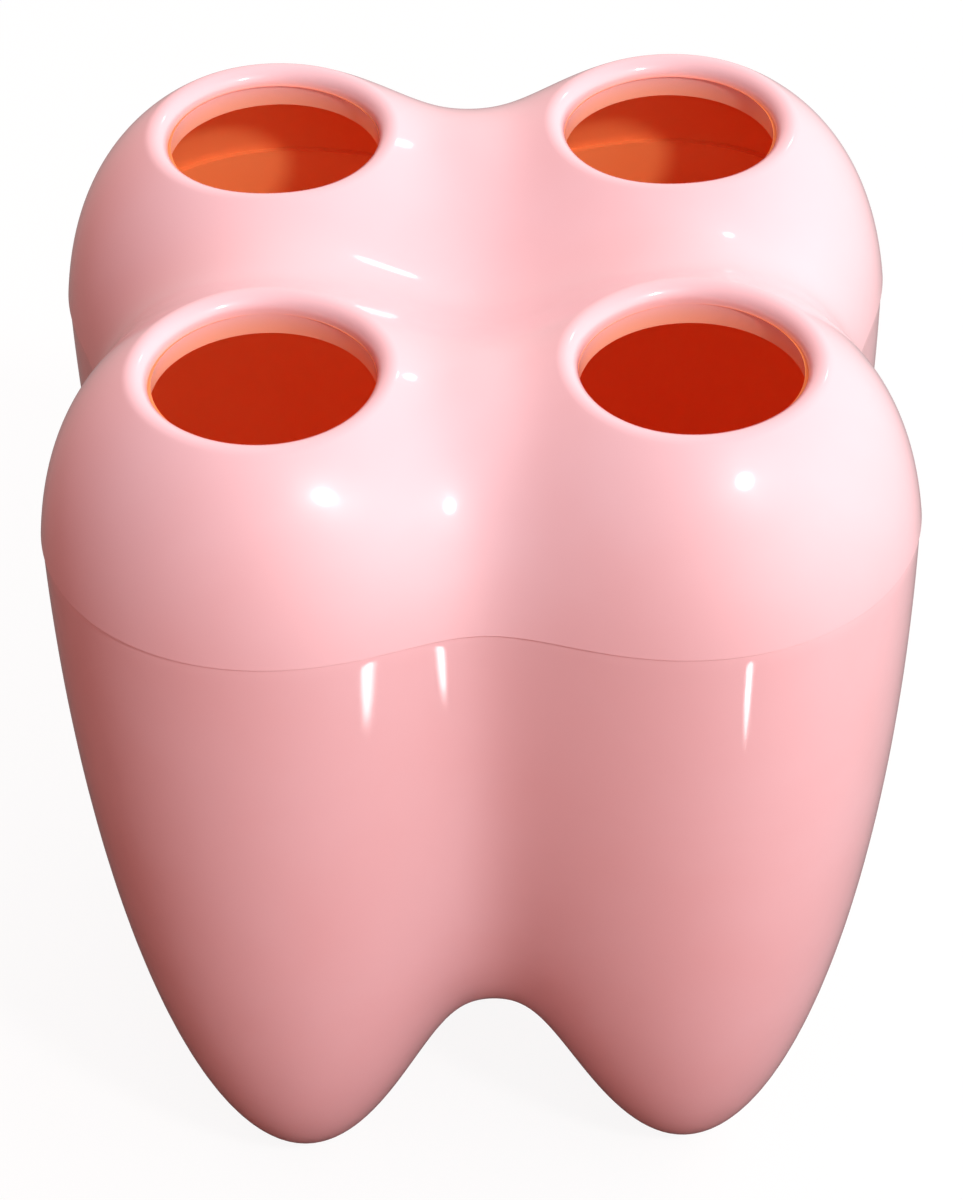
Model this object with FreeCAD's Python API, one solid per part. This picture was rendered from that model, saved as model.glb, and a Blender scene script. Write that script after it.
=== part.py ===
import FreeCAD, Part
import functools
import math
import os

# Molar-shaped toothbrush holder, in millimetres: a cup with four hollow roots and the crown lid that lifts
# off it. +Z is up, and the origin is on the floor under the middle.

# Plan that both shells share: four round lobes that melt together
lobe_radius = 24.7       # round of each lobe at the parting line
lobe_overlap = 0.7       # how far each lobe reaches past the two middle planes
groove_share = 0.3887    # how far the valleys between the lobes fill in, as a share of that round

# Cup
seam_height = 98.7       # floor to the parting line
tip_trim = 0.8           # cut off each root's round tip, so that it stands on a flat
cup_wall = 2.4

# Webs that fill the valleys between the lobes, more and more towards the tips
web_depth = 10.0         # along the spoke through a web's middle
web_width = 5.6          # across that spoke
web_share = 0.036        # a web's pull at the tips, as a share of a lobe's

# Lid
cusp_rise = 25.5         # parting line to where a cusp would peak without its hole
crown_sink = 12.0        # from the parting line down to where the domes would be widest
lid_overhang = 0.15      # how far the lid's lower edge stands out past the cup
lid_wall = 2.8
hole_radius = 12.5
hole_lean = 0.6          # from a lobe's axis to its hole's, along X and along Y
lip_round = 1.7          # rounding of each hole's upper edge
collar_wall = 2.2
collar_reach = 5.4       # from the dome at a hole's wall down to the lower edge of its collar

# Skirt that keeps the lid in place on the cup
skirt_wall = 1.6
skirt_drop = 5.0         # below the parting line
skirt_root = 4.0         # above the parting line, inside the lid
skirt_gap = 0.25         # to the inside of the cup

# Both edges at the parting line are rounded a little
edge_round = 0.15

# Powers of the height in the two profiles: 1 is a paraboloid, 2 an ellipsoid, and more is boxier
root_power = 1.93
cusp_power = 2.97

# How finely the curved skins are laid out
quarter_spokes = 20
side_rows = 20
middle_rows = 23
search_steps = 45
edge_samples = 7
middle_radius = 0.5      # small flat that closes each skin in the middle
overrun = 20.0           # cutting shapes reach this far past what they cut

# Sizes that follow from the values above
lobe_offset = lobe_radius - lobe_overlap
groove_softness = groove_share * lobe_radius
hole_offset = lobe_offset - hole_lean
crown_height = cusp_rise + crown_sink
crown_level = seam_height - crown_sink
crown_widest = (lobe_radius + lid_overhang) / math.sqrt(1 - (crown_sink / crown_height) ** cusp_power)
rim_share = (1 - (hole_radius / crown_widest) ** 2) ** (1 / cusp_power)
rim_height = crown_level + crown_height * rim_share
collar_height = rim_height - collar_reach
skirt_outset = cup_wall + skirt_gap
skirt_inset = skirt_outset + skirt_wall
plan_reach = 2 * (lobe_offset + lobe_radius)
small_step = lobe_radius / 10000
spoke_count = 4 * quarter_spokes
spoke_angles = [2 * math.pi * i / spoke_count for i in range(spoke_count)]


def lobe_places(offset):
    """The four places of something that repeats on every lobe."""
    return [(i * offset, j * offset) for i in (-1, 1) for j in (-1, 1)]


def web_pull(radial, across):
    """Pull of a web at a point, given along and across the spoke through its middle."""
    return math.exp(-((radial - lobe_offset) / web_depth) ** 2 - (across / web_width) ** 2)


def plan_sum(x, y, fill_share):
    """Sum of the lobes' pull at a point of the plan, with a share of the webs' pull."""
    lobes = sum(math.exp(-math.hypot(x - a, y - b) / groove_softness) for a, b in lobe_places(lobe_offset))
    return lobes + fill_share * (web_pull(abs(x), y) + web_pull(abs(y), x))


axis_sum = plan_sum(lobe_offset, lobe_offset, 0)


def plan_distance(x, y, fill_share):
    """Softened distance to the nearest lobe axis, zero on the axes."""
    return -groove_softness * math.log(plan_sum(x, y, fill_share) / axis_sum)


def plan_slope(x, y, fill_share):
    """How the softened distance grows along X and Y."""
    slope_x = plan_distance(x + small_step, y, fill_share) - plan_distance(x - small_step, y, fill_share)
    slope_y = plan_distance(x, y + small_step, fill_share) - plan_distance(x, y - small_step, fill_share)
    return slope_x / (2 * small_step), slope_y / (2 * small_step)


def distance_along(radius, angle, fill_share):
    """Softened distance at a radius on a spoke of the plan."""
    return plan_distance(radius * math.cos(angle), radius * math.sin(angle), fill_share)


@functools.lru_cache(maxsize=None)
def crest_radius(angle, fill_share):
    """Radius at which a spoke comes nearest to a lobe axis."""
    low, high = 0.0, plan_reach
    golden_share = (math.sqrt(5) - 1) / 2
    for _ in range(search_steps):
        inner = high - golden_share * (high - low)
        outer = low + golden_share * (high - low)
        if distance_along(inner, angle, fill_share) < distance_along(outer, angle, fill_share):
            high = outer
        else:
            low = inner
    return (low + high) / 2


def radius_at(distance, angle, fill_share, near, far):
    """Radius on a spoke, between one nearer to a lobe axis and one farther off, with the given distance."""
    for _ in range(search_steps):
        radius = (near + far) / 2
        if distance_along(radius, angle, fill_share) < distance:
            near = radius
        else:
            far = radius
    return (near + far) / 2


class Profile:
    """Skin whose height depends on the softened distance, from a widest level to the tips of the lobes.

    A share is a place between the widest level, at 0, and the tips, at 1.
    """

    def __init__(self, widest, level, height, power):
        self.widest = widest
        self.level = level
        self.height = height
        self.power = power
        self.middle_share = self.share_where(lambda fill: plan_distance(0, 0, fill))
        self.spokes = [self.spoke(angle) for angle in spoke_angles[:quarter_spokes]]

    def fill(self, share):
        return web_share * share ** 2

    def distance_at(self, share):
        return self.widest * math.sqrt(1 - share ** self.power)

    def share_where(self, plan_value):
        """Share at which a distance that changes with the webs' pull meets the skin."""
        low_share, high_share = 0.0, 1.0
        for _ in range(search_steps):
            share = (low_share + high_share) / 2
            if plan_value(self.fill(share)) < self.distance_at(share):
                low_share = share
            else:
                high_share = share
        return (low_share + high_share) / 2

    def normal(self, x, y, share):
        """Outward normal of the skin."""
        fill_share = self.fill(share)
        distance = self.distance_at(share)
        slope_x, slope_y = plan_slope(x, y, fill_share)
        webs = plan_sum(x, y, 1) - plan_sum(x, y, 0)
        filling = -groove_softness * webs / plan_sum(x, y, fill_share) * 2 * web_share * share
        taper = self.widest ** 2 * self.power * share ** (self.power - 1) / 2
        rise = (filling * distance + taper) / self.height
        return FreeCAD.Vector(slope_x * distance, slope_y * distance, rise).normalize()

    def spoke(self, angle):
        """Radii and shares along a spoke, from the widest level over the crest to near the middle."""
        top_share = self.share_where(lambda fill: distance_along(crest_radius(angle, fill), angle, fill))
        turns = [math.pi / 2 * j / side_rows for j in range(side_rows)]
        side_shares = [top_share * math.sin(turn) for turn in turns]
        turns = [math.pi * j / middle_rows for j in range(1, middle_rows)]
        rest = top_share - self.middle_share
        middle_shares = [self.middle_share + rest * (1 + math.cos(turn)) / 2 for turn in turns]
        spots = [(self.radius(angle, share, plan_reach), share) for share in side_shares]
        spots.append((crest_radius(angle, self.fill(top_share)), top_share))
        spots += [(self.radius(angle, share, 0.0), share) for share in middle_shares]
        return spots

    def radius(self, angle, share, far):
        """Radius of the skin on a spoke, on the side of its crest where the far radius is."""
        fill_share = self.fill(share)
        near = crest_radius(angle, fill_share)
        return radius_at(self.distance_at(share), angle, fill_share, near, far)

    def rows(self, inset):
        """Rows of points on the skin, moved inwards, each row once round."""
        middle_normal = self.height / abs(self.height)
        middle_height = self.level + self.height * self.middle_share - middle_normal * inset
        columns = []
        for i, angle in enumerate(spoke_angles):
            column = []
            for radius, share in self.spokes[i % quarter_spokes]:
                x, y = radius * math.cos(angle), radius * math.sin(angle)
                point = FreeCAD.Vector(x, y, self.level + self.height * share)
                column.append(point - self.normal(x, y, share) * inset)
            x, y = middle_radius * math.cos(angle), middle_radius * math.sin(angle)
            column.append(FreeCAD.Vector(x, y, middle_height))
            columns.append(column)
        return [list(row) for row in zip(*columns)]


def ring_curve(points):
    """Closed smooth curve through one row of points."""
    curve = Part.BSplineCurve()
    steps = [i / len(points) for i in range(len(points) + 1)]
    curve.interpolate(Points=points, PeriodicFlag=True, Parameters=steps)
    return curve


def skin_surface(rows):
    """Smooth surface, closed round the middle, through all rows of points."""
    rings = [ring_curve(row) for row in rows]
    lengths = [0.0]
    for low, high in zip(rows, rows[1:]):
        step = sum(a.distanceToPoint(b) for a, b in zip(low, high)) / len(low)
        lengths.append(lengths[-1] + step)
    net = []
    for column in zip(*[ring.getPoles() for ring in rings]):
        rib = Part.BSplineCurve()
        rib.interpolate(Points=list(column), Parameters=[length / lengths[-1] for length in lengths])
        net.append(rib.getPoles())
    ring = rings[0]
    surface = Part.BSplineSurface()
    surface.buildFromPolesMultsKnots(
        net, ring.getMultiplicities(), rib.getMultiplicities(), ring.getKnots(), rib.getKnots(),
        True, False, ring.Degree, rib.Degree)
    return surface


def skin_solid(profile, inset):
    """Everything inside a skin, closed by a flat at its widest level and a small one in the middle."""
    surface = skin_surface(profile.rows(inset))
    first, last = surface.bounds()[2:]
    caps = [Part.Face(Part.Wire(surface.vIso(v).toShape())) for v in (first, last)]
    shell = Part.makeShell([surface.toShape()] + caps)
    shell.sewShape()
    solid = Part.makeSolid(shell)
    if solid.Volume < 0:
        solid.reverse()
    return solid


def seam_face(inset, height):
    """Flat face inside the outline of the parting line, moved inwards."""
    points = []
    for angle in spoke_angles:
        radius = radius_at(lobe_radius, angle, 0, crest_radius(angle, 0), plan_reach)
        x, y = radius * math.cos(angle), radius * math.sin(angle)
        outward = FreeCAD.Vector(*plan_slope(x, y, 0), 0).normalize()
        points.append(FreeCAD.Vector(x, y, height) - outward * inset)
    return Part.Face(Part.Wire(ring_curve(points).toShape()))


def seam_ring(outer_inset, inner_inset, low, high):
    """Upright wall that follows the parting line between two insets."""
    up = FreeCAD.Vector(0, 0, high - low)
    outer = seam_face(outer_inset, low).extrude(up)
    inner = seam_face(inner_inset, low).extrude(up)
    return outer.cut(inner)


def slab(low, high):
    """Block that covers the whole plan between two heights."""
    side = 2 * plan_reach
    return Part.makeBox(side, side, high - low, FreeCAD.Vector(-plan_reach, -plan_reach, low))


def hole_post(x, y, radius, low):
    """Upright cylinder on a hole's axis, from a height to well above the lid."""
    return Part.makeCylinder(radius, rim_height + overrun - low, FreeCAD.Vector(x, y, low))


def edges_where(shape, test):
    """Edges on which every point of a short sample passes a test."""
    return [edge for edge in shape.Edges if all(map(test, edge.discretize(Number=edge_samples)))]


def seam_edges(shape):
    """Outer edges of a shell at the parting line."""

    def outside(point):
        at_seam = abs(point.z - seam_height) < edge_round / 100
        return at_seam and plan_distance(point.x, point.y, 0) > lobe_radius - cup_wall / 2

    return edges_where(shape, outside)


def rim_edges(shape):
    """Upper edges of the four holes."""

    def on_rim(point):
        away = min(math.hypot(point.x - a, point.y - b) for a, b in lobe_places(hole_offset))
        return point.z > collar_height + lip_round and abs(away - hole_radius) < lip_round / 100

    return edges_where(shape, on_rim)


def make_root_cup():
    """Cup with four hollow roots, each cut to a flat where it stands."""
    profile = Profile(lobe_radius, seam_height, -(seam_height + tip_trim), root_power)
    cup = skin_solid(profile, 0.0).cut(skin_solid(profile, cup_wall))
    cup = cup.cut(slab(-tip_trim - overrun, 0.0))
    return cup.makeFillet(edge_round, seam_edges(cup))


def make_crown_lid():
    """Domed lid with four collared holes and the skirt that drops into the cup."""
    profile = Profile(crown_widest, crown_level, crown_height, cusp_power)
    holes = [hole_post(x, y, hole_radius, collar_height - overrun) for x, y in lobe_places(hole_offset)]
    dome = skin_solid(profile, 0.0).cut([slab(crown_level - overrun, seam_height)] + holes)
    dome = dome.makeFillet(lip_round, rim_edges(dome))
    posts = [hole_post(x, y, hole_radius + collar_wall, collar_height) for x, y in lobe_places(hole_offset)]
    root_ring = seam_ring(lid_wall / 2, skirt_inset, seam_height - overrun, seam_height + skirt_root)
    lid = dome.cut(skin_solid(profile, lid_wall).cut(posts + [root_ring]))
    lid = lid.fuse(seam_ring(skirt_outset, skirt_inset, seam_height - skirt_drop, seam_height))
    lid = lid.removeSplitter()
    return lid.makeFillet(edge_round, seam_edges(lid))


os.makedirs("parts", exist_ok=True)
make_root_cup().exportStep("parts/root_cup.step")
make_crown_lid().exportStep("parts/crown_lid.step")
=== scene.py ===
import math

import bmesh
import bpy
import numpy as np
from mathutils import Matrix, Vector


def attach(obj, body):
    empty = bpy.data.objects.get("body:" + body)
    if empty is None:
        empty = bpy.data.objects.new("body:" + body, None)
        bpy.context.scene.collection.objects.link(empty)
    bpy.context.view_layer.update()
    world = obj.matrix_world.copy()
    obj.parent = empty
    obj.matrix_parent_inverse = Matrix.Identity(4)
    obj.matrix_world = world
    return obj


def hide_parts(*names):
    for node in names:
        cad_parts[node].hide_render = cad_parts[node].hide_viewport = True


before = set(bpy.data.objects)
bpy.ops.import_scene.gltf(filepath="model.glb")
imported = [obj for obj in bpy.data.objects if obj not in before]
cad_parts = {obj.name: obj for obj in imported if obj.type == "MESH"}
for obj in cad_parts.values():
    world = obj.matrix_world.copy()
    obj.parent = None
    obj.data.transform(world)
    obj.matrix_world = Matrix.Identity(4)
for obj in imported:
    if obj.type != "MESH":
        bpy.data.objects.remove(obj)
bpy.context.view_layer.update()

# Sizes of the part, in millimetres
MM = 0.001

# Plan that both shells share: four round lobes that melt together, with webs that fill the valleys
LOBE_RADIUS = 24.7
LOBE_OVERLAP = 0.7
GROOVE_SHARE = 0.3887
WEB_DEPTH = 10.0
WEB_WIDTH = 5.6
WEB_SHARE = 0.036

# Cup
SEAM = 98.7
TIP_TRIM = 0.8
CUP_WALL = 2.4
ROOT_POWER = 1.93

# Lid
CUSP_RISE = 25.5
CROWN_SINK = 12.0
OVERHANG = 0.15
CUSP_POWER = 2.97
LID_WALL = 2.8
HOLE_RADIUS = 12.5
HOLE_LEAN = 0.6
LIP_ROUND = 1.7
COLLAR_WALL = 2.2
COLLAR_REACH = 5.4
SKIRT_WALL = 1.6
SKIRT_DROP = 5.0
SKIRT_ROOT = 4.0
SKIRT_GAP = 0.25
EDGE_ROUND = 0.15

# Sizes that follow
LOBE_OFFSET = LOBE_RADIUS - LOBE_OVERLAP
SOFTNESS = GROOVE_SHARE * LOBE_RADIUS
CUP_HEIGHT = SEAM + TIP_TRIM
CROWN_HEIGHT = CUSP_RISE + CROWN_SINK
CROWN_LEVEL = SEAM - CROWN_SINK
CROWN_WIDEST = (LOBE_RADIUS + OVERHANG) / math.sqrt(1 - (CROWN_SINK / CROWN_HEIGHT) ** CUSP_POWER)
RIM_SHARE = (1 - (HOLE_RADIUS / CROWN_WIDEST) ** 2) ** (1 / CUSP_POWER)
RIM_HEIGHT = CROWN_LEVEL + CROWN_HEIGHT * RIM_SHARE
COLLAR_HEIGHT = RIM_HEIGHT - COLLAR_REACH
HOLE_OFFSET = LOBE_OFFSET - HOLE_LEAN
SKIRT_OUTSET = CUP_WALL + SKIRT_GAP
SKIRT_INSET = SKIRT_OUTSET + SKIRT_WALL
REACH = 2 * (LOBE_OFFSET + LOBE_RADIUS)  # well past the plan, for searches

# How finely the skins are laid out and searched
CUP_SPOKES = 320
CUP_SIDE_ROWS = 90
CUP_MIDDLE_ROWS = 80
PLANE_RAYS = 97
SEAM_RAYS = 161
TOP_ROWS = 73
UNDER_ROWS = 49
LIP_ROWS = 15
WALL_ROWS = 6
EDGE_ROWS = 7
LIP_PROBES = 400
HALVINGS = 48
GOLDEN_STEPS = 60
SMALL_STEP = 0.001
WELD_DISTANCE = 0.001
SHARP_ANGLE = math.radians(40)

# Material numbers of the pieces
OUTSIDE, INSIDE, RIM = 0, 1, 2


def plan_sum(x, y, fill):
    """What the lobes and the webs add up to at a point of the plan; it falls off outwards."""
    total = 0
    for a in (-LOBE_OFFSET, LOBE_OFFSET):
        for b in (-LOBE_OFFSET, LOBE_OFFSET):
            total = total + np.exp(-np.hypot(x - a, y - b) / SOFTNESS)
    web_x = np.exp(-((np.abs(x) - LOBE_OFFSET) / WEB_DEPTH) ** 2 - (y / WEB_WIDTH) ** 2)
    web_y = np.exp(-((np.abs(y) - LOBE_OFFSET) / WEB_DEPTH) ** 2 - (x / WEB_WIDTH) ** 2)
    return total + fill * (web_x + web_y)


AXIS_SUM = plan_sum(LOBE_OFFSET, LOBE_OFFSET, 0.0)


def distance(x, y, fill):
    """Softened distance to the nearest lobe axis."""
    return -SOFTNESS * np.log(plan_sum(x, y, fill) / AXIS_SUM)


def slope(x, y, fill):
    """How fast the distance grows along X and along Y."""
    h = SMALL_STEP
    gx = (distance(x + h, y, fill) - distance(x - h, y, fill)) / (2 * h)
    gy = (distance(x, y + h, fill) - distance(x, y - h, fill)) / (2 * h)
    return gx, gy


def halve(keep_low, low, high):
    """Where a test that holds at low stops holding on the way to high, for whole arrays."""
    low, high = np.array(low, float), np.array(high, float)
    for _ in range(HALVINGS):
        middle = (low + high) / 2
        keep = keep_low(middle)
        low = np.where(keep, middle, low)
        high = np.where(keep, high, middle)
    return (low + high) / 2


def crest(angle, fill):
    """Radius at which each spoke comes nearest to a lobe axis, by golden section."""
    c, s = np.cos(angle), np.sin(angle)
    low, high = np.zeros_like(angle), np.full_like(angle, REACH)
    golden = (math.sqrt(5) - 1) / 2
    for _ in range(GOLDEN_STEPS):
        inner = high - golden * (high - low)
        outer = low + golden * (high - low)
        left = distance(inner * c, inner * s, fill) < distance(outer * c, outer * s, fill)
        high = np.where(left, outer, high)
        low = np.where(left, low, inner)
    return (low + high) / 2


class Profile:
    """How wide and how filled the plan is at a share of the way from its level to its tips."""

    def __init__(self, widest, level, height, power):
        self.widest, self.level, self.height, self.power = widest, level, height, power

    def distance(self, share):
        return self.widest * np.sqrt(np.maximum(1 - share ** self.power, 0))

    def fill(self, share):
        return WEB_SHARE * share ** 2

    def share_at(self, x, y):
        low = np.zeros(np.broadcast(x, y).shape)
        return halve(lambda q: distance(x, y, self.fill(q)) < self.distance(q), low, low + 1)

    def height_at(self, x, y):
        return self.level + self.height * self.share_at(x, y)

    def normals(self, x, y, share):
        fill, d = self.fill(share), self.distance(share)
        gx, gy = slope(x, y, fill)
        webs = plan_sum(x, y, 1.0) - plan_sum(x, y, 0.0)
        filling = -SOFTNESS * webs / plan_sum(x, y, fill) * 2 * WEB_SHARE * share
        taper = self.widest ** 2 * self.power * share ** (self.power - 1) / 2
        n = np.stack([gx * d, gy * d, (filling * d + taper) / self.height], -1)
        return n / np.linalg.norm(n, axis=-1, keepdims=True)


CUP = Profile(LOBE_RADIUS, SEAM, -CUP_HEIGHT, ROOT_POWER)
CROWN = Profile(CROWN_WIDEST, CROWN_LEVEL, CROWN_HEIGHT, CUSP_POWER)


class Sheet:
    """Collects grids of points into one mesh, each with a material number."""

    def __init__(self):
        self.points, self.faces, self.numbers = [], [], []
        self.count = 0

    def grid(self, rows, number, closed=False, flip=False):
        rows = np.array(rows)
        n_rows, n = rows.shape[:2]
        ids = self.count + np.arange(n_rows * n).reshape(n_rows, n)
        self.points.append(rows.reshape(-1, 3))
        self.count += n_rows * n
        if closed:
            ids = np.concatenate([ids, ids[:, :1]], 1)
        quads = np.stack([ids[:-1, :-1], ids[:-1, 1:], ids[1:, 1:], ids[1:, :-1]], -1).reshape(-1, 4)
        self.faces.append(quads[:, ::-1] if flip else quads)
        self.numbers.append(np.full(len(quads), number))

    def make(self, name, materials):
        mesh = bpy.data.meshes.new(name)
        points = np.concatenate(self.points) * MM
        faces = np.concatenate(self.faces)
        mesh.from_pydata(points.tolist(), [], faces.tolist())
        mesh.polygons.foreach_set("material_index", np.concatenate(self.numbers).astype(np.int32))
        bm = bmesh.new()
        bm.from_mesh(mesh)
        bmesh.ops.remove_doubles(bm, verts=bm.verts, dist=WELD_DISTANCE * MM)
        bmesh.ops.dissolve_degenerate(bm, edges=bm.edges, dist=WELD_DISTANCE * MM / 10)
        bm.to_mesh(mesh)
        bm.free()
        mesh.shade_smooth()
        mesh.set_sharp_from_angle(angle=SHARP_ANGLE)
        for material in materials:
            mesh.materials.append(material)
        piece = bpy.data.objects.new(name, mesh)
        bpy.context.scene.collection.objects.link(piece)
        return piece


# Cup: one skin of rows and spokes, and the same skin a wall's thickness further in

def cup_skin(angle):
    """Points and outward normals of the cup's skin, row by row from the seam to the middle."""
    c, s = np.cos(angle), np.sin(angle)

    def above_crest(share):
        fill = CUP.fill(share)
        r = crest(angle, fill)
        return distance(r * c, r * s, fill) < CUP.distance(share)

    top = halve(above_crest, np.zeros_like(angle), np.ones_like(angle))
    middle = halve(lambda q: distance(0.0, 0.0, CUP.fill(q)) < CUP.distance(q), 0.0, 1.0)
    last_row = CUP_SIDE_ROWS + CUP_MIDDLE_ROWS
    rows = []
    for j in range(last_row + 1):
        if j <= CUP_SIDE_ROWS:
            share, far = top * math.sin(math.pi / 2 * j / CUP_SIDE_ROWS), REACH
        else:
            turn = math.pi * (j - CUP_SIDE_ROWS) / CUP_MIDDLE_ROWS
            share, far = middle + (top - middle) * (1 + math.cos(turn)) / 2, 0.0
        fill, want = CUP.fill(share), CUP.distance(share)
        near = crest(angle, fill)
        if j == CUP_SIDE_ROWS:
            r = near
        elif j == last_row:
            r = np.zeros_like(angle)
        else:
            r = halve(lambda q: distance(q * c, q * s, fill) < want, near, np.full_like(angle, far))
        x, y = r * c, r * s
        points = np.stack([x, y, SEAM - CUP_HEIGHT * share], -1)
        rows.append((points, CUP.normals(x, y, share)))
    return rows


def make_cup(materials):
    angle = np.arange(CUP_SPOKES) * 2 * math.pi / CUP_SPOKES
    skin = cup_skin(angle)
    outer = [points for points, normals in skin]
    inner = [points - normals * CUP_WALL for points, normals in skin]
    for points in outer:
        points[:, 2] = np.maximum(points[:, 2], 0)
    edge_points, edge_normals = outer[0].copy(), skin[0][1]
    edge = []
    for turn in np.linspace(0, math.pi / 2, EDGE_ROWS):
        row = edge_points - edge_normals * EDGE_ROUND * (1 - math.cos(turn))
        row[:, 2] = SEAM - EDGE_ROUND * (1 - math.sin(turn))
        edge.append(row)
    sheet = Sheet()
    sheet.grid(outer[:0:-1] + edge, OUTSIDE, closed=True)
    sheet.grid([edge[-1], inner[0]], OUTSIDE, closed=True)
    sheet.grid(inner, INSIDE, closed=True)
    return sheet.make("root_cup_skin", materials)


# Lid: four mirrored quarters, each a web of rays from a hole to the middle planes and the seam

class LidQuarter:
    """Rows of points for the quarter of the lid round one hole, along rays from the hole's axis."""

    def __init__(self):
        edge_share = (SEAM + EDGE_ROUND - CROWN_LEVEL) / CROWN_HEIGHT
        self.edge_fill, self.edge_distance = CROWN.fill(edge_share), CROWN.distance(edge_share)
        corner = float(halve(lambda q: self.inside_seam(q, 0.0), LOBE_OFFSET, REACH))

        # The rays to the two middle planes lie closer together towards the seam, where the dome is steep
        on_plane = corner * np.sin(np.linspace(0, math.pi / 2, PLANE_RAYS))
        to_y_plane = np.stack([on_plane, np.zeros_like(on_plane)], -1)
        to_x_plane = to_y_plane[::-1, ::-1]
        start = math.atan2(-HOLE_OFFSET, corner - HOLE_OFFSET)
        turns = np.linspace(start, math.pi / 2 - start, SEAM_RAYS)[1:-1]
        c, s = np.cos(turns), np.sin(turns)
        far = halve(lambda q: self.inside_seam(HOLE_OFFSET + q * c, HOLE_OFFSET + q * s),
                    np.zeros_like(turns), np.full_like(turns, REACH))
        to_seam = HOLE_OFFSET + np.stack([far * c, far * s], -1)

        ends = np.concatenate([to_y_plane, to_seam, to_x_plane])
        self.seam_points = ends[PLANE_RAYS - 1:PLANE_RAYS - 1 + SEAM_RAYS]
        out = ends - HOLE_OFFSET
        self.length = np.linalg.norm(out, axis=1)
        self.way = out / self.length[:, None]
        self.fit_lip()

    def inside_seam(self, x, y):
        return distance(x, y, self.edge_fill) < self.edge_distance

    def fit_lip(self):
        """Finds the rounding that touches the hole's wall and the dome on each ray."""
        self.lip_radius = HOLE_RADIUS + LIP_ROUND
        probe = np.linspace(HOLE_RADIUS, HOLE_RADIUS + 3 * LIP_ROUND, LIP_PROBES)
        dome = CROWN.height_at(HOLE_OFFSET + probe * self.way[:, :1], HOLE_OFFSET + probe * self.way[:, 1:])

        def gap(height):
            return np.hypot(probe - self.lip_radius, dome - height[:, None])

        highest = CROWN.height_at(*self.at(self.lip_radius))
        lowest = np.full_like(highest, SEAM)
        self.lip_height = halve(lambda q: gap(q).min(1) > LIP_ROUND, lowest, highest)
        touch = gap(self.lip_height).argmin(1)
        self.touch_radius = probe[touch]
        touch_rise = dome[np.arange(len(touch)), touch] - self.lip_height
        self.touch_turn = np.arctan2(touch_rise, self.touch_radius - self.lip_radius)

    def at(self, radius):
        """Plan points at a radius from the hole's axis, one on each ray."""
        return HOLE_OFFSET + radius * self.way[:, 0], HOLE_OFFSET + radius * self.way[:, 1]

    def row(self, radius, height):
        x, y = self.at(radius)
        return np.stack([x, y, np.broadcast_to(height, x.shape)], -1)

    def lip(self):
        rows = []
        for t in np.linspace(0, 1, LIP_ROWS):
            turn = math.pi + (self.touch_turn - math.pi) * t
            radius = self.lip_radius + LIP_ROUND * np.cos(turn)
            rows.append(self.row(radius, self.lip_height + LIP_ROUND * np.sin(turn)))
        return rows

    def wall(self):
        drop = self.lip_height - COLLAR_HEIGHT
        return [self.row(HOLE_RADIUS, COLLAR_HEIGHT + drop * t) for t in np.linspace(0, 1, WALL_ROWS)]

    def collar(self):
        radius = HOLE_RADIUS + COLLAR_WALL
        inside_dome = CROWN.height_at(*self.at(radius)) - LID_WALL / 2
        return [self.row(radius, COLLAR_HEIGHT), self.row(radius, inside_dome)]

    def top(self):
        rows = [self.lip()[-1]]
        for t in np.sin(np.linspace(0, math.pi / 2, TOP_ROWS))[1:]:
            x, y = self.at(self.touch_radius + (self.length - self.touch_radius) * t)
            rows.append(np.stack([x, y, CROWN.height_at(x, y)], -1))
        return rows

    def under(self):
        """The dome's under side, which starts out of sight inside the collar."""
        start = HOLE_RADIUS + COLLAR_WALL / 2
        rows = []
        for t in np.sin(np.linspace(0, math.pi / 2, UNDER_ROWS)):
            x, y = self.at(start + (self.length - start) * t)
            share = CROWN.share_at(x, y)
            points = np.stack([x, y, CROWN_LEVEL + CROWN_HEIGHT * share], -1)
            rows.append(points - CROWN.normals(x, y, share) * LID_WALL)
        return rows

    def strip(self, inset, height):
        """The outline at the seam, drawn in by an inset and set at a height."""
        gx, gy = slope(self.seam_points[:, 0], self.seam_points[:, 1], self.edge_fill)
        outward = np.stack([gx, gy], -1) / np.hypot(gx, gy)[:, None]
        points = self.seam_points - outward * inset
        return np.concatenate([points, np.full((len(points), 1), height)], 1)

    def edge(self):
        rows = []
        for turn in np.linspace(0, math.pi / 2, EDGE_ROWS):
            rise = EDGE_ROUND * (1 - math.sin(turn))
            rows.append(self.strip(EDGE_ROUND * (1 - math.cos(turn)), SEAM + rise))
        return rows

    def skirt_outside(self):
        return [self.strip(EDGE_ROUND, SEAM), self.strip(SKIRT_OUTSET, SEAM),
                self.strip(SKIRT_OUTSET, SEAM - SKIRT_DROP)]

    def skirt_inside(self):
        foot, head = SEAM - SKIRT_DROP, SEAM + SKIRT_ROOT
        return [self.strip(SKIRT_OUTSET, foot), self.strip(SKIRT_INSET, foot),
                self.strip(SKIRT_INSET, head), self.strip(LID_WALL, head)]


def make_lid(materials):
    quarter = LidQuarter()
    wall, collar = quarter.wall(), quarter.collar()
    # Rows of points, their material, and whether their faces turn the other way
    grids = (
        (quarter.top(), OUTSIDE, True),
        (quarter.lip(), RIM, True),
        (wall, RIM, True),
        ([collar[0], wall[0]], INSIDE, True),
        (collar, INSIDE, False),
        (quarter.under(), INSIDE, False),
        (quarter.edge(), OUTSIDE, True),
        (quarter.skirt_outside(), OUTSIDE, True),
        (quarter.skirt_inside(), INSIDE, True))
    sheet = Sheet()
    for i in (-1, 1):
        for j in (-1, 1):
            mirror = np.array([i, j, 1.0])
            for rows, number, turned in grids:
                sheet.grid([r * mirror for r in rows], number, flip=(i * j < 0) != turned)
    return sheet.make("crown_lid_skin", materials)


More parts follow.
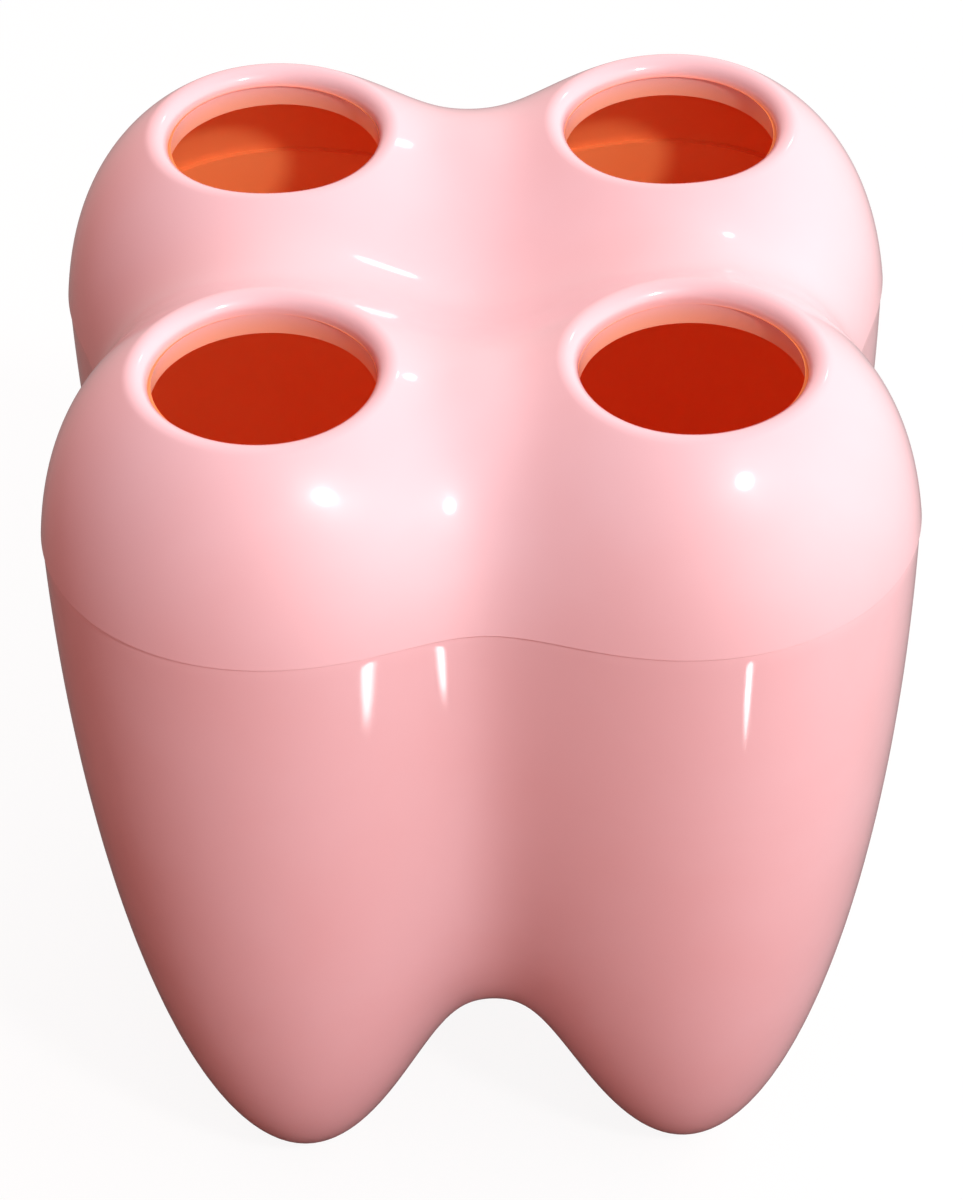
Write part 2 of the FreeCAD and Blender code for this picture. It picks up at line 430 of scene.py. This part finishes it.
# Materials. The colour sockets of a Mix node go by number
MIX_A, MIX_B, MIX_RESULT = 6, 7, 2


class Nodes:
    """Short hand for building one node tree."""

    def __init__(self, owner):
        owner.use_nodes = True
        self.tree = owner.node_tree

    def add(self, kind, *sockets, **settings):
        """A node with its settings; sockets are (input, value or output) pairs."""
        node = self.tree.nodes.new("ShaderNode" + kind)
        for key, value in settings.items():
            setattr(node, key, value)
        for key, value in sockets:
            self.put(node, key, value)
        return node

    def put(self, node, key, value):
        if isinstance(value, bpy.types.NodeSocket):
            self.tree.links.new(value, node.inputs[key])
        else:
            node.inputs[key].default_value = value

    def blend(self, factor, first, second):
        """The colour output of a mix of two colours."""
        mix = self.add("Mix", ("Factor", factor), data_type="RGBA")
        for key, colour in ((MIX_A, first), (MIX_B, second)):
            self.put(mix, key, colour if isinstance(colour, bpy.types.NodeSocket) else (*colour, 1))
        return mix.outputs[MIX_RESULT]


# Colours of the plastic outside; inside the hollow and where the wall of a hole ends, painted glow and shade
PALE, ROSE = (0.93, 0.57, 0.62), (0.92, 0.53, 0.57)
# Painted glow and shade: the deep coral inside stands in for the red light that bounces round the hollow
CORAL_PAINTED_GLOW, BRICK_PAINTED_GLOW = (0.99, 0.38, 0.13), (0.985, 0.34, 0.10)
# Painted glow and shade down the wall of a hole, from the light inside
SALMON_PAINTED_GLOW = (0.98, 0.46, 0.30)

# Its finish: noise in cycles per metre, relief in metres, fade of the painted glow down a hole's wall in
# millimetres
PIGMENT_SCALE, GRAIN_SCALE = 34.0, 420.0
PEEL_DEPTH = 0.0001
PAINTED_GLOW_FADE = 4.2
SATIN, POLISHED = (0.34, 0.44), (0.30, 0.36)
CLEAR_COAT, COAT_ROUGHNESS = 0.9, 0.09
PLASTIC_IOR = 1.5


def plastic(name, light, deep, gloss, painted_glow=None, peel=0.04, coat=0.0):
    """Moulded plastic: a pigment that drifts a little, and a gloss with a faint orange peel.

    A painted glow and shade takes over down the wall of a hole, standing in for the red light from inside.
    """
    material = bpy.data.materials.new(name)
    n = Nodes(material)
    shader = material.node_tree.nodes["Principled BSDF"]
    place = n.add("TexCoord").outputs["Object"]
    cloud = n.add("TexNoise", ("Vector", place), ("Scale", PIGMENT_SCALE), ("Detail", 3.0),
                  ("Roughness", 0.55), ("Distortion", 0.4))
    grain = n.add("TexNoise", ("Vector", place), ("Scale", GRAIN_SCALE), ("Detail", 2.0))
    drift = n.add("MapRange", ("Value", cloud.outputs["Fac"]), ("From Min", 0.3), ("From Max", 0.7))
    colour = n.blend(drift.outputs["Result"], deep, light)
    wear = n.add("Math", (0, grain.outputs["Fac"]), (1, cloud.outputs["Fac"]), operation="MULTIPLY")
    polish = n.add("MapRange", ("Value", wear.outputs[0]), ("From Min", 0.15), ("From Max", 0.35),
                   ("To Min", gloss[0]), ("To Max", gloss[1]))
    relief = n.add("Bump", ("Height", grain.outputs["Fac"]), ("Strength", peel), ("Distance", PEEL_DEPTH))
    # Painted glow and shade: the colour of the light from inside grows down the hole's wall towards the
    # collar
    if painted_glow:
        height = n.add("SeparateXYZ", (0, place)).outputs["Z"]
        low, high = COLLAR_HEIGHT * MM, (COLLAR_HEIGHT + PAINTED_GLOW_FADE) * MM
        depth = n.add("MapRange", ("Value", height), ("From Min", high), ("From Max", low),
                      interpolation_type="SMOOTHSTEP")
        colour = n.blend(depth.outputs["Result"], colour, painted_glow)
    n.put(shader, "Base Color", colour)
    n.put(shader, "Roughness", polish.outputs["Result"])
    n.put(shader, "Normal", relief.outputs["Normal"])
    n.put(shader, "IOR", PLASTIC_IOR)
    n.put(shader, "Coat Weight", coat)
    n.put(shader, "Coat Roughness", COAT_ROUGHNESS)
    return material


outside = plastic("pink_plastic_outside", PALE, ROSE, SATIN, coat=CLEAR_COAT)
# Inside skins: the plastic painted with the coral glow and shade of the hollow
inside = plastic("pink_plastic_inside_painted_glow", CORAL_PAINTED_GLOW, BRICK_PAINTED_GLOW, POLISHED, peel=0.015)
# Hole lips and walls: the plastic with a painted glow and shade down each wall
rim = plastic("pink_plastic_rim_painted_glow", PALE, ROSE, SATIN, coat=CLEAR_COAT, painted_glow=SALMON_PAINTED_GLOW)

cup = make_cup([outside, inside])
lid = make_lid([outside, inside, rim])
for piece, body, node in ((cup, "cup", "root_cup"), (lid, "lid", "crown_lid")):
    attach(piece, body)
    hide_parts(node)

# Floor: white to the camera apart from the shadow, and a dim rose to the light that it throws back
FLOOR_HALF = 3.0
FLOOR_SEEN, FLOOR_BOUNCE = (0.95, 0.95, 0.95), (0.50, 0.20, 0.15)
FLOOR_GLOW_SHARE = 0.9


def floor_paper():
    material = bpy.data.materials.new("floor_paper")
    n = Nodes(material)
    seen = n.add("LightPath").outputs["Is Camera Ray"]
    paper = n.add("BsdfDiffuse", ("Color", n.blend(seen, FLOOR_BOUNCE, FLOOR_SEEN)))
    glow = n.add("Emission")
    glowing = n.add("Math", (0, seen), (1, FLOOR_GLOW_SHARE), operation="MULTIPLY")
    both = n.add("MixShader", (0, glowing.outputs[0]), (1, paper.outputs[0]), (2, glow.outputs[0]))
    n.put(material.node_tree.nodes["Material Output"], "Surface", both.outputs[0])
    return material


def make_floor():
    corners = [(x * FLOOR_HALF, y * FLOOR_HALF, 0) for x, y in ((-1, -1), (1, -1), (1, 1), (-1, 1))]
    mesh = bpy.data.meshes.new("floor")
    mesh.from_pydata(corners, [], [(0, 1, 2, 3)])
    mesh.materials.append(floor_paper())
    floor = bpy.data.objects.new("floor", mesh)
    bpy.context.scene.collection.objects.link(floor)
    # The low card shines on the gloss from below the floor
    floor.visible_glossy = False
    return floor


floor = make_floor()

# Soft light from all round, as azimuth and elevation in degrees, strength and tint. Azimuth 0 is
# towards the camera and 90 to the right. The shade side on the left has weak reddish light only.
WHITE, BLUSH, WARM = (1.0, 1.0, 1.0), (1.0, 0.55, 0.52), (1.0, 0.25, 0.16)
SOFT_LIGHTS = (
    (52, 6, 1.9, WHITE), (112, 6, 1.3, WHITE), (90, 52, 0.08, WHITE), (20, 60, 0.35, WHITE),
    (0, 90, 0.2, WHITE), (180, 12, 0.6, WHITE), (150, 52, 0.3, WHITE),
    (-150, 52, 0.6, BLUSH), (-135, 12, 0.35, WARM), (-20, 5, 0.1, WARM))
SOFT_POWER = 3.0         # how fast each fades away from its direction

# Small lamps for the highlights, all at one distance in metres from what they aim at
LAMP_DISTANCE = 1.2


def direction(azimuth, elevation):
    a, e = math.radians(azimuth), math.radians(elevation)
    return np.array([math.sin(a) * math.cos(e), -math.cos(a) * math.cos(e), math.sin(e)])


def make_world():
    world = bpy.data.worlds.new("studio")
    n = Nodes(world)
    toward = n.add("TexCoord").outputs["Generated"]
    total = None
    for azimuth, elevation, strength, tint in SOFT_LIGHTS:
        across = n.add("VectorMath", (0, toward), (1, direction(azimuth, elevation)), operation="DOT_PRODUCT")
        facing = n.add("Math", (0, across.outputs["Value"]), (1, 0.0), operation="MAXIMUM")
        lobe = n.add("Math", (0, facing.outputs[0]), (1, SOFT_POWER), operation="POWER")
        level = [strength * c for c in tint]
        tinted = n.add("VectorMath", (0, lobe.outputs[0]), (1, level), operation="MULTIPLY")
        if total:
            tinted = n.add("VectorMath", (0, tinted.outputs[0]), (1, total), operation="ADD")
        total = tinted.outputs[0]
    n.put(world.node_tree.nodes["Background"], "Color", total)
    return world


def area_lamp(name, azimuth, elevation, size, radiance, target, gloss_only=False):
    """An elliptical lamp of a size in metres that aims at a target in millimetres."""
    data = bpy.data.lights.new(name, "AREA")
    data.shape = "ELLIPSE"
    data.size, data.size_y = size
    data.energy = radiance * math.pi * (math.pi * size[0] * size[1] / 4)
    lamp = bpy.data.objects.new(name, data)
    bpy.context.scene.collection.objects.link(lamp)
    toward = direction(azimuth, elevation)
    lamp.location = np.array(target) * MM + toward * LAMP_DISTANCE
    lamp.rotation_mode = "QUATERNION"
    lamp.rotation_quaternion = Vector(toward).to_track_quat("Z", "Y")
    lamp.visible_camera = False
    lamp.visible_diffuse = not gloss_only


bpy.context.scene.world = make_world()
area_lamp("key_lamp", azimuth=35, elevation=44, size=(0.14, 0.14), radiance=112, target=(0, -20, 110))
area_lamp("rear_lamp", azimuth=149, elevation=35, size=(0.09, 0.09), radiance=14, target=(0, 20, 115))
area_lamp("low_card", azimuth=30, elevation=-41, size=(0.045, 0.17), radiance=22, target=(0, -40, 88),
          gloss_only=True)

# The glow inside the hollow takes many bounces
bpy.context.scene.cycles.max_bounces = 24
bpy.context.scene.cycles.diffuse_bounces = 20

# Camera, fitted to the hole rims and the outline: place and lens in millimetres, angles in degrees
CAMERA_PLACE = (-0.137, -354.647, 365.666)
PITCH, YAW, ROLL = 40.151, 0.006, -1.362
FOCAL_LENGTH, SENSOR_WIDTH = 114, 36
CLIP_START = 10.0


def make_camera():
    lens = bpy.data.cameras.new("camera")
    lens.sensor_fit = "AUTO"
    lens.sensor_width = SENSOR_WIDTH
    lens.lens = FOCAL_LENGTH
    lens.clip_start = CLIP_START * MM
    camera = bpy.data.objects.new("camera", lens)
    bpy.context.scene.collection.objects.link(camera)
    back = direction(YAW, PITCH)
    level_side = direction(YAW + 90, 0)
    level_rise = np.cross(back, level_side)
    roll = math.radians(ROLL)
    side = math.cos(roll) * level_side + math.sin(roll) * level_rise
    rise = math.cos(roll) * level_rise - math.sin(roll) * level_side
    columns = np.stack([side, rise, back, np.array(CAMERA_PLACE) * MM], -1)
    camera.matrix_world = Matrix(columns.tolist() + [[0, 0, 0, 1]])
    return camera


bpy.context.scene.camera = make_camera()

bpy.context.scene.view_settings.view_transform = "Standard"
